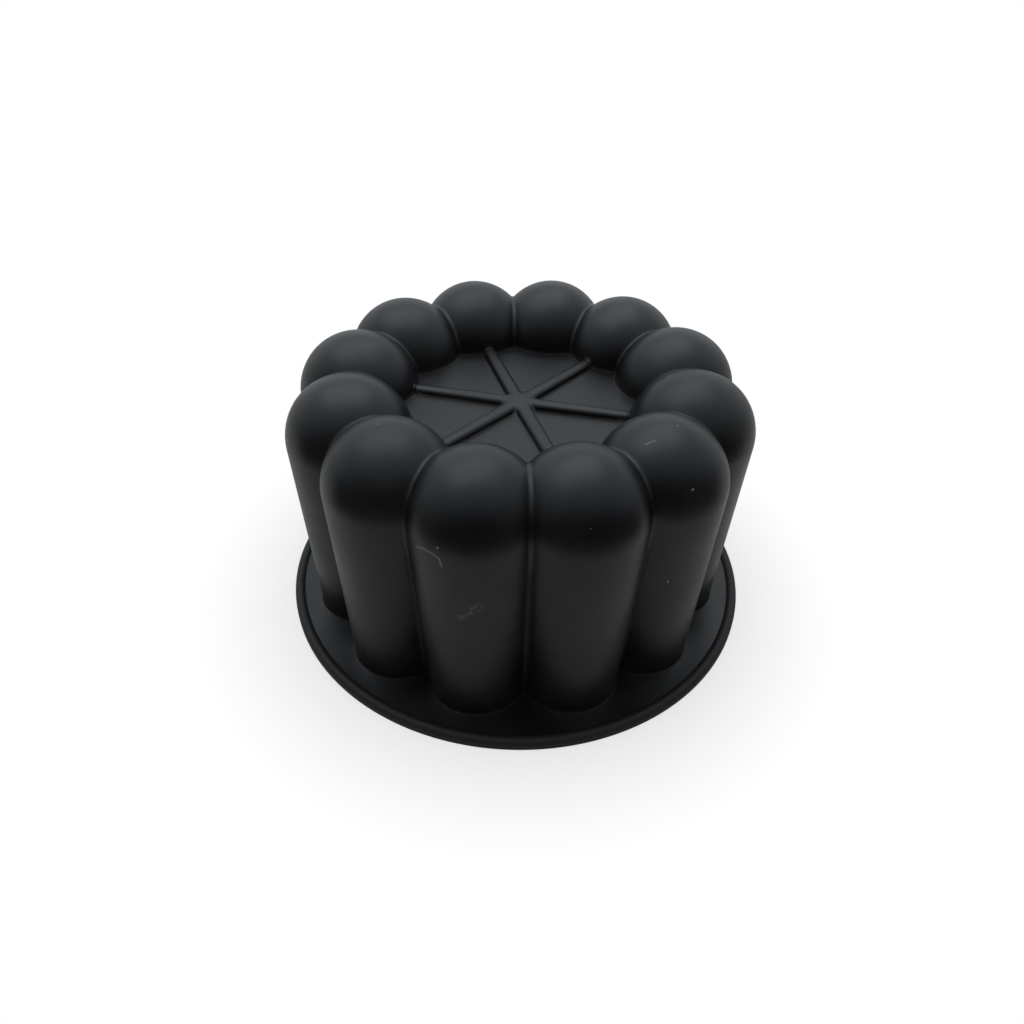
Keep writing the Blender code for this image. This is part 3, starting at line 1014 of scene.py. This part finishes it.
def make_silicone():
    material, tree, shader = new_finish("black_silicone")
    clouds = use_effect(tree, cloud, **SILICONE_CLOUDS)
    grain = use_effect(tree, cloud, **SILICONE_GRAIN)
    specks = use_effect(tree, dust, **SILICONE_DUST)
    away, height = axis_distance(tree)
    # The bead's band: rougher from wear, and painted paler, partly for wear and partly as a painted
    # reflection of the table.
    rubbed = ramp(tree, away, FLANGE_EDGE_RADIUS, FLANGE_EDGE_RADIUS + BEAD_WEAR_AND_SHEEN_REACH)
    dull = dull_hollows(tree, away, height, rubbed)
    colour = mix_colour(tree, clouds, SILICONE_COLOUR, SILICONE_CLOUDED)
    # Painted reflection: the bead is painted paler here, partly for wear and partly for the table it
    # reflects.
    colour = mix_colour(tree, rubbed, colour, BEAD_WEAR_AND_SHEEN_COLOUR)
    colour = mix_colour(tree, specks, colour, DUST_COLOUR)
    colour = mix_colour(tree, make_marks(tree), colour, DUST_COLOUR)
    rough = between(tree, clouds, *SILICONE_ROUGHNESS)
    rough = between(tree, rubbed, rough, BEAD_ROUGHNESS)
    rough = between(tree, dull, rough, HOLLOW_ROUGHNESS)
    feed(tree, shader, colour, rough, grain, SILICONE_BUMP)
    shader.inputs["IOR"].default_value = SILICONE_IOR
    return material


shell.data.materials.append(make_silicone())
print("nodes in the silicone:", len(shell.active_material.node_tree.nodes))

# %% [markdown]
# ## Steel
# The wire is drawn, so it is bright with a fine grain, and a little dull where the
# moulding heat has touched it.

# %% Steel finish
STEEL_COLOUR = (0.60, 0.59, 0.57, 1.0)
STEEL_DULL = (0.42, 0.40, 0.37, 1.0)
STEEL_CLOUDS = {"Scale": 300.0, "Low": 0.4, "High": 0.7}
STEEL_GRAIN = {"Scale": 6000.0, "Low": 0.3, "High": 0.7}
STEEL_DUST = {"Scale": 900.0, "Size": 0.2, "Share": 0.1}
STEEL_BUMP = {"Strength": 0.1, "Distance": 0.0001}
STEEL_ROUGHNESS = (0.28, 0.45)  # bright and dull


def make_steel():
    material, tree, shader = new_finish("drawn_steel")
    clouds = use_effect(tree, cloud, **STEEL_CLOUDS)
    grain = use_effect(tree, cloud, **STEEL_GRAIN)
    specks = use_effect(tree, dust, **STEEL_DUST)
    colour = mix_colour(tree, clouds, STEEL_COLOUR, STEEL_DULL)
    colour = mix_colour(tree, specks, colour, DUST_COLOUR)
    rough = between(tree, clouds, *STEEL_ROUGHNESS)
    feed(tree, shader, colour, rough, grain, STEEL_BUMP)
    shader.inputs["Metallic"].default_value = 1.0
    return material


hoop.data.materials.append(make_steel())
print("nodes in the steel:", len(hoop.active_material.node_tree.nodes))

# %% [markdown]
# ## The table
# The table is a wide pale sheet. Round the mould it is matt and takes the mould's
# soft shadow. The camera sees it bleached, more and more so further out, until it
# is pure white and the picture has no horizon line. Nothing of this lights the mould.
# It is open under the mould and can be seen through from below, where a view from
# under the table would otherwise show nothing.

# %% Table
WHITE = (1.0, 1.0, 1.0, 1.0)
TABLE_RADIUS = 9.0
TABLE_COLOUR = (0.80, 0.80, 0.79, 1.0)
BLEACH_AT_RIM = 0.70
BLEACHED_RADIUS = 0.135
TABLE_OPENING_RADIUS = RIM_RADIUS - SEAT_EDGE_RADIUS
TABLE_SIDES = 192


def seen_directly(tree):
    """1 for camera and glass rays, which see the white background."""
    path = add_node(tree, "ShaderNodeLightPath").outputs
    return combine(tree, "MAXIMUM", path["Is Camera Ray"], path["Is Transmission Ray"])


def mix_shader(tree, share, first, second):
    """First node's shader where a share is 0, second node's where it is 1."""
    return add_node(tree, "ShaderNodeMixShader", {0: share, 1: first.outputs[0], 2: second.outputs[0]})


def make_table_finish():
    material, tree, _ = new_finish("pale_table")
    tree.nodes.clear()
    matt = add_node(tree, "ShaderNodeBsdfDiffuse", {"Color": TABLE_COLOUR})
    white = add_node(tree, "ShaderNodeEmission", {"Color": WHITE, "Strength": 1.0})
    away, _ = axis_distance(tree)
    reach = {"From Min": RIM_RADIUS, "From Max": BLEACHED_RADIUS, "To Min": BLEACH_AT_RIM, "To Max": 1.0}
    bleach = add_node(tree, "ShaderNodeMapRange", {"Value": away, **reach})
    share = combine(tree, "MULTIPLY", bleach.outputs[0], seen_directly(tree))
    above = mix_shader(tree, share, matt, white)
    backfacing = add_node(tree, "ShaderNodeNewGeometry").outputs["Backfacing"]
    clear = add_node(tree, "ShaderNodeBsdfTransparent")
    seen = mix_shader(tree, backfacing, above, clear)
    add_node(tree, "ShaderNodeOutputMaterial", {"Surface": seen.outputs[0]})
    return material


def make_table():
    bm = bmesh.new()
    loops = []
    for radius in (TABLE_RADIUS, TABLE_OPENING_RADIUS):
        circle = arc((0.0, 0.0), radius, 0.0, 2.0 * math.pi, TABLE_SIDES)[:-1]
        loops.append([bm.verts.new((x, y, 0.0)) for x, y in circle])
    join_loops(bm, *loops)
    item = show(finished_mesh(bm, "table"))
    item.data.materials.append(make_table_finish())
    print("table's opening mm:", round(1000 * TABLE_OPENING_RADIUS, 2))


make_table()

# %% [markdown]
# ## Light
# Black satin is lit with what it mirrors. A wide softbox hangs over the mould and
# leans back, which draws the soft sheen on top of every crown and on the plate. The
# photographer stands in front, and the room behind them is dark: a low black flag
# bent round the front of the mould, which only reflections see, draws the dark band
# below each crown.

# %% Softbox
SOFTBOX_PLACE = (-0.10, 0.40, 1.10)
SOFTBOX_AIM = (0.0, 0.0, 0.05)
SOFTBOX_SIZE = (1.3, 0.9)
SOFTBOX_COLOUR = (0.88, 0.94, 1.0)
SOFTBOX_WATTS = 5.4


def add_softbox():
    light = bpy.data.lights.new("top_softbox", "AREA")
    light.shape = "RECTANGLE"
    light.size, light.size_y = SOFTBOX_SIZE
    light.energy = SOFTBOX_WATTS
    light.color = SOFTBOX_COLOUR
    item = bpy.data.objects.new("top_softbox", light)
    item.location = SOFTBOX_PLACE
    ahead = Vector(SOFTBOX_AIM) - Vector(SOFTBOX_PLACE)
    item.rotation_euler = ahead.to_track_quat("-Z", "Y").to_euler()
    bpy.context.scene.collection.objects.link(item)
    print("softbox watts:", light.energy)


add_softbox()

# %% Flag
FLAG_RADIUS = 0.24
FLAG_HEIGHT = 0.12
FLAG_HALF_SPAN = math.radians(80.0)
FLAG_STEPS = 48
FLAG_COLOUR = (0.10, 0.10, 0.11, 1.0)


def make_flag():
    bm = bmesh.new()
    edges = []
    for step in range(FLAG_STEPS + 1):
        bearing = -math.pi / 2.0 + FLAG_HALF_SPAN * (2.0 * step / FLAG_STEPS - 1.0)
        foot = on_circle(FLAG_RADIUS, bearing, 0.0)
        edges.append((bm.verts.new(foot), bm.verts.new(foot + Vector((0.0, 0.0, FLAG_HEIGHT)))))
    for first, second in zip(edges, edges[1:]):
        bm.faces.new((first[0], second[0], second[1], first[1]))
    item = show(finished_mesh(bm, "dark_flag"))
    material, _, shader = new_finish("flag_black")
    shader.inputs["Base Color"].default_value = FLAG_COLOUR
    shader.inputs["Roughness"].default_value = 1.0
    shader.inputs["Specular IOR Level"].default_value = 0.0
    item.data.materials.append(material)
    item.visible_camera = False
    item.visible_diffuse = False
    item.visible_shadow = False
    item.visible_transmission = False
    print("flag faces:", len(item.data.polygons))


make_flag()

# %% [markdown]
# The room is a plain even light for everything matt. What the satin mirrors of it
# is another matter: the wall behind the mould and the ceiling are white, and towards
# the photographer the room falls off to black. The fall follows the angle to a line
# that points backward and up. Under the table a paler patch straight below gives the
# mouth a sheen, which only a view from there shows.

# %% World
ROOM_STRENGTH = 0.50
ROOM_TILT = math.radians(48.0)  # of the line from the mould to the middle of the bright side
ROOM_DARK = -0.40  # cosine of the angle to that line where the room is black
ROOM_BRIGHT = 0.80
MIRRORED_STRENGTH = 0.95
MIRRORED_COLOUR = (0.88, 0.945, 1.0, 1.0)
BELOW_START = -0.50  # upward part of a direction at which the light from below begins
BELOW_STRENGTH = 0.60


def make_world():
    world = bpy.data.worlds.new("room")
    bpy.context.scene.world = world
    world.use_nodes = True
    tree = world.node_tree
    tree.nodes.clear()
    way = add_node(tree, "ShaderNodeTexCoord").outputs["Generated"]
    line = (0.0, math.cos(ROOM_TILT), math.sin(ROOM_TILT))
    turned = vector_math(tree, "DOT_PRODUCT", way, line).outputs["Value"]
    behind = combine(tree, "MULTIPLY", ramp(tree, turned, ROOM_DARK, ROOM_BRIGHT), MIRRORED_STRENGTH)
    upward = add_node(tree, "ShaderNodeSeparateXYZ", {0: way}).outputs[2]
    below = combine(tree, "MULTIPLY", ramp(tree, upward, BELOW_START, -1.0), BELOW_STRENGTH)
    fall = combine(tree, "ADD", behind, below)
    room = add_node(tree, "ShaderNodeBackground", {"Color": WHITE, "Strength": ROOM_STRENGTH})
    mirrored = add_node(tree, "ShaderNodeBackground", {"Color": MIRRORED_COLOUR, "Strength": fall})
    white = add_node(tree, "ShaderNodeBackground", {"Color": WHITE, "Strength": 1.0})
    glossy = add_node(tree, "ShaderNodeLightPath").outputs["Is Glossy Ray"]
    lit = mix_shader(tree, glossy, room, mirrored)
    mixed = mix_shader(tree, seen_directly(tree), lit, white)
    add_node(tree, "ShaderNodeOutputWorld", {"Surface": mixed.outputs[0]})
    print("nodes in the world:", len(tree.nodes))


make_world()

# %% [markdown]
# ## Camera
# The camera stands close in front of the mould, a little to the left and about 23 cm
# over the table, and looks down on it at 41 degrees. At such a short distance the
# front columns look much larger than the back ones, as they do in the photograph.

# %% Camera
PHOTO_SIDE = 1024
SENSOR_WIDTH = 36.0  # millimetres
NEAREST_VIEW = 0.01
FOCAL_PIXELS = 765.9
CAMERA_PLACE = Vector((-0.01472, -0.24755, 0.23354))
CAMERA_HEADING = math.radians(1.981)
CAMERA_DIP = math.radians(41.430)
CAMERA_ROLL = math.radians(0.487)
SIDE_SHIFT = 10.29 / PHOTO_SIDE
UP_SHIFT = 27.75 / PHOTO_SIDE


def make_camera():
    x = math.sin(CAMERA_HEADING) * math.cos(CAMERA_DIP)
    y = math.cos(CAMERA_HEADING) * math.cos(CAMERA_DIP)
    ahead = Vector((x, y, -math.sin(CAMERA_DIP)))
    level = Vector((math.cos(CAMERA_HEADING), -math.sin(CAMERA_HEADING), 0.0))
    upright = level.cross(ahead)
    right = math.cos(CAMERA_ROLL) * level + math.sin(CAMERA_ROLL) * upright
    up = math.cos(CAMERA_ROLL) * upright - math.sin(CAMERA_ROLL) * level
    data = bpy.data.cameras.new("photo_camera")
    data.sensor_width = SENSOR_WIDTH
    data.lens = data.sensor_width * FOCAL_PIXELS / PHOTO_SIDE
    data.shift_x = SIDE_SHIFT
    data.shift_y = UP_SHIFT
    data.clip_start = NEAREST_VIEW
    item = bpy.data.objects.new("photo_camera", data)
    turn = Matrix((right, up, -ahead)).transposed()
    item.matrix_world = Matrix.Translation(CAMERA_PLACE) @ turn.to_4x4()
    bpy.context.scene.collection.objects.link(item)
    bpy.context.scene.camera = item
    print("lens mm:", round(data.lens, 2))


make_camera()

# %% [markdown]
# ## Finish
# The view transform is Standard, so that a colour comes out as it is written.

# %% Finish
bpy.context.scene.view_settings.view_transform = "Standard"
